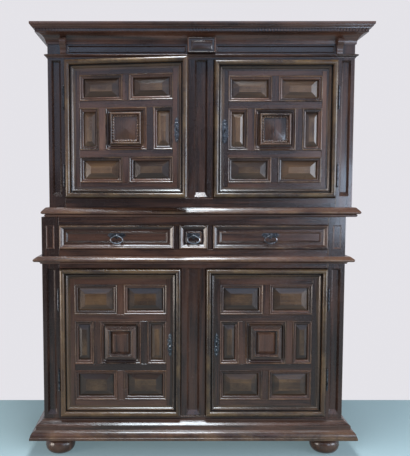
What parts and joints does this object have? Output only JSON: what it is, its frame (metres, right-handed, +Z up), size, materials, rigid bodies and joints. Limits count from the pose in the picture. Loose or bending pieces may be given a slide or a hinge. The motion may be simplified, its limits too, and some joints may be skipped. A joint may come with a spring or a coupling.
{
  "type": "two-part cabinet",
  "caption": "Tall carved walnut cabinet in two stacked bodies, with panelled doors, a belt of drawers with drop rings, moulded cornice and plinth, and bun feet.",
  "frame": {"origin": "on the floor, under the middle of the cabinet's bounding box", "axes": "+Z up, the front with doors and drawers faces -Y, +X to the right as seen from the front"},
  "size_m": [1.6255, 0.6469, 2.075],
  "materials": {
    "walnut": "dark waxed walnut with worn edges",
    "walnut_panel": "dark waxed walnut, warmer on the raised fields",
    "inner_wood": "plain unwaxed boards",
    "iron": "dark wrought iron, rubbed bright on its edges"
  },
  "bodies": {
    "lower_case": {"drawer_runners": "inner_wood", "front_feet": "walnut", "lower_back_boards": "inner_wood", "lower_boards": "inner_wood", "lower_front_frame": "walnut", "lower_hinge_posts": "iron", "lower_shelf": "inner_wood", "lower_sides": "walnut", "plinth": "walnut", "rear_feet": "walnut", "waist_moulding": "walnut"},
    "upper_case": {"base_moulding": "walnut", "cornice": "walnut", "frieze_ornaments": "walnut", "necking_moulding": "walnut", "upper_back_boards": "inner_wood", "upper_boards": "inner_wood", "upper_front_frame": "walnut", "upper_hinge_posts": "iron", "upper_shelf": "inner_wood", "upper_sides": "walnut"},
    "upper_left_door": {"upper_left_door_frame": "walnut", "upper_left_door_hinge_knuckles": "iron", "upper_left_door_lock": "iron", "upper_left_door_panels": "walnut_panel", "upper_left_door_surround": "walnut"},
    "upper_left_door_bolt": {"upper_left_door_lock_bolt": "iron"},
    "upper_right_door": {"upper_right_door_frame": "walnut", "upper_right_door_hinge_knuckles": "iron", "upper_right_door_lock": "iron", "upper_right_door_panels": "walnut_panel", "upper_right_door_surround": "walnut"},
    "upper_right_door_bolt": {"upper_right_door_lock_bolt": "iron"},
    "lower_left_door": {"lower_left_door_frame": "walnut", "lower_left_door_hinge_knuckles": "iron", "lower_left_door_lock": "iron", "lower_left_door_panels": "walnut_panel", "lower_left_door_surround": "walnut"},
    "lower_left_door_bolt": {"lower_left_door_lock_bolt": "iron"},
    "lower_right_door": {"lower_right_door_frame": "walnut", "lower_right_door_hinge_knuckles": "iron", "lower_right_door_lock": "iron", "lower_right_door_panels": "walnut_panel", "lower_right_door_surround": "walnut"},
    "lower_right_door_bolt": {"lower_right_door_lock_bolt": "iron"},
    "left_drawer": {"left_drawer_box": "inner_wood", "left_drawer_front": "walnut", "left_drawer_pull_plate": "iron"},
    "left_drawer_ring": {"left_drawer_pull_ring": "iron"},
    "centre_drawer": {"centre_drawer_box": "inner_wood", "centre_drawer_front": "walnut", "centre_drawer_pull_plate": "iron"},
    "centre_drawer_ring": {"centre_drawer_pull_ring": "iron"},
    "right_drawer": {"right_drawer_box": "inner_wood", "right_drawer_front": "walnut", "right_drawer_pull_plate": "iron"},
    "right_drawer_ring": {"right_drawer_pull_ring": "iron"}
  },
  "joints": [
    {"name": "upper_lift", "type": "slide", "parent": "lower_case", "child": "upper_case", "axis": [0, 0, 1], "range_m": [0, 0.12]},
    {"name": "upper_left_door_hinge", "type": "hinge", "parent": "upper_case", "child": "upper_left_door", "pos_m": [-0.6355, -0.224, 1.5885], "axis": [0, 0, -1], "range_deg": [-8, 97]},
    {"name": "upper_left_door_bolt_slide", "type": "slide", "parent": "upper_left_door", "child": "upper_left_door_bolt", "axis": [0.9903, -0.1392, 0], "range_m": [0, 0.014]},
    {"name": "upper_right_door_hinge", "type": "hinge", "parent": "upper_case", "child": "upper_right_door", "pos_m": [0.6695, -0.224, 1.5885], "axis": [0, 0, 1], "range_deg": [0, 105]},
    {"name": "upper_right_door_bolt_slide", "type": "slide", "parent": "upper_right_door", "child": "upper_right_door_bolt", "axis": [-1, 0, 0], "range_m": [0, 0.014]},
    {"name": "lower_left_door_hinge", "type": "hinge", "parent": "lower_case", "child": "lower_left_door", "pos_m": [-0.6695, -0.236, 0.5585], "axis": [0, 0, -1], "range_deg": [0, 105]},
    {"name": "lower_left_door_bolt_slide", "type": "slide", "parent": "lower_left_door", "child": "lower_left_door_bolt", "axis": [1, 0, 0], "range_m": [0, 0.014]},
    {"name": "lower_right_door_hinge", "type": "hinge", "parent": "lower_case", "child": "lower_right_door", "pos_m": [0.6355, -0.236, 0.5585], "axis": [0, 0, 1], "range_deg": [0, 105]},
    {"name": "lower_right_door_bolt_slide", "type": "slide", "parent": "lower_right_door", "child": "lower_right_door_bolt", "axis": [-1, 0, 0], "range_m": [0, 0.014]},
    {"name": "left_drawer_slide", "type": "slide", "parent": "lower_case", "child": "left_drawer", "axis": [0, -1, 0], "range_m": [0, 0.34]},
    {"name": "left_drawer_ring_hinge", "type": "hinge", "parent": "left_drawer", "child": "left_drawer_ring", "pos_m": [-0.387, -0.236, 1.08375], "axis": [-1, 0, 0], "range_deg": [0, 95]},
    {"name": "centre_drawer_slide", "type": "slide", "parent": "lower_case", "child": "centre_drawer", "axis": [0, -1, 0], "range_m": [0, 0.34]},
    {"name": "centre_drawer_ring_hinge", "type": "hinge", "parent": "centre_drawer", "child": "centre_drawer_ring", "pos_m": [-0.017, -0.236, 1.08375], "axis": [-1, 0, 0], "range_deg": [0, 95]},
    {"name": "right_drawer_slide", "type": "slide", "parent": "lower_case", "child": "right_drawer", "axis": [0, -1, 0], "range_m": [0, 0.34]},
    {"name": "right_drawer_ring_hinge", "type": "hinge", "parent": "right_drawer", "child": "right_drawer_ring", "pos_m": [0.353, -0.236, 1.08375], "axis": [-1, 0, 0], "range_deg": [0, 95]}
  ]
}
